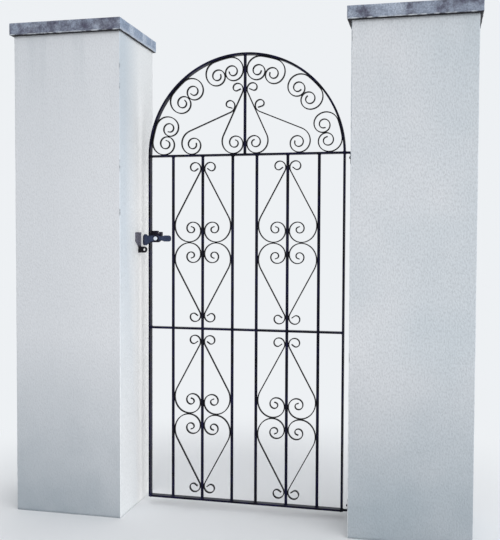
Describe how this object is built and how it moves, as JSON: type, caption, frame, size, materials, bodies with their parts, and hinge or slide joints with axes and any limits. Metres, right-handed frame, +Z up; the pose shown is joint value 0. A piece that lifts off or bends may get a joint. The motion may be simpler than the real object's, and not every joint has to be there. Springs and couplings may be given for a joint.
{
  "type": "bow top metal garden gate",
  "caption": "Painted steel garden gate leaf with a half-round bow top, scrollwork and a lever latch, hinged between two rendered piers with flat copings.",
  "frame": {"origin": "ground level, in the middle of the opening and of the piers' depth", "axes": "+Z up, +X along the opening towards the hinge pier, +Y the way the leaf opens"},
  "size_m": [1.818, 0.411, 1.96],
  "materials": {
    "render_coat": "roughcast render",
    "coping_slate": "weathered slate grey",
    "frame_paint": "satin black paint",
    "scroll_paint": "satin black paint",
    "bracket_paint": "weathered black paint",
    "latch_paint": "worn blue-black paint",
    "bolt_zinc": "bright zinc plate"
  },
  "bodies": {
    "posts": {"latch_pier": "render_coat", "hinge_pier": "render_coat", "latch_coping": "coping_slate", "hinge_coping": "coping_slate", "hinge_plate_upper": "bracket_paint", "hinge_plate_lower": "bracket_paint", "latch_keeper": "bracket_paint"},
    "leaf": {"bar_1": "frame_paint", "bar_2": "frame_paint", "bar_3": "frame_paint", "bar_4": "frame_paint", "bar_5": "frame_paint", "bar_6": "frame_paint", "bottom_rail": "frame_paint", "bow": "frame_paint", "c_low_left": "scroll_paint", "c_low_right": "scroll_paint", "c_mid_left": "scroll_paint", "c_mid_right": "scroll_paint", "c_top_left": "scroll_paint", "c_top_right": "scroll_paint", "crown_post": "frame_paint", "hinge_pin_lower": "frame_paint", "hinge_pin_upper": "frame_paint", "inner_scroll_left": "scroll_paint", "inner_scroll_right": "scroll_paint", "latch_bracket": "latch_paint", "left_stile": "frame_paint", "mid_rail": "frame_paint", "outer_scroll_left": "scroll_paint", "outer_scroll_right": "scroll_paint", "pivot_bolt": "bolt_zinc", "right_stile": "frame_paint", "scroll_a_high_left_down": "scroll_paint", "scroll_a_high_left_up": "scroll_paint", "scroll_a_high_right_down": "scroll_paint", "scroll_a_high_right_up": "scroll_paint", "scroll_a_low_left_down": "scroll_paint", "scroll_a_low_left_up": "scroll_paint", "scroll_a_low_right_down": "scroll_paint", "scroll_a_low_right_up": "scroll_paint", "scroll_b_high_left_down": "scroll_paint", "scroll_b_high_left_up": "scroll_paint", "scroll_b_high_right_down": "scroll_paint", "scroll_b_high_right_up": "scroll_paint", "scroll_b_low_left_down": "scroll_paint", "scroll_b_low_left_up": "scroll_paint", "scroll_b_low_right_down": "scroll_paint", "scroll_b_low_right_up": "scroll_paint", "spring_rail": "frame_paint"},
    "lever": {"latch_lever": "latch_paint"}
  },
  "joints": [
    {"name": "leaf_hinge", "type": "hinge", "parent": "posts", "child": "leaf", "pos_m": [0.4295, 0.0335, 1.4475], "axis": [0, 0, -1], "range_deg": [0, 90]},
    {"name": "lever_pivot", "type": "hinge", "parent": "leaf", "child": "lever", "pos_m": [-0.3685, 0.0065, 1.10825], "axis": [0, 1, 0], "range_deg": [0, 25]}
  ]
}
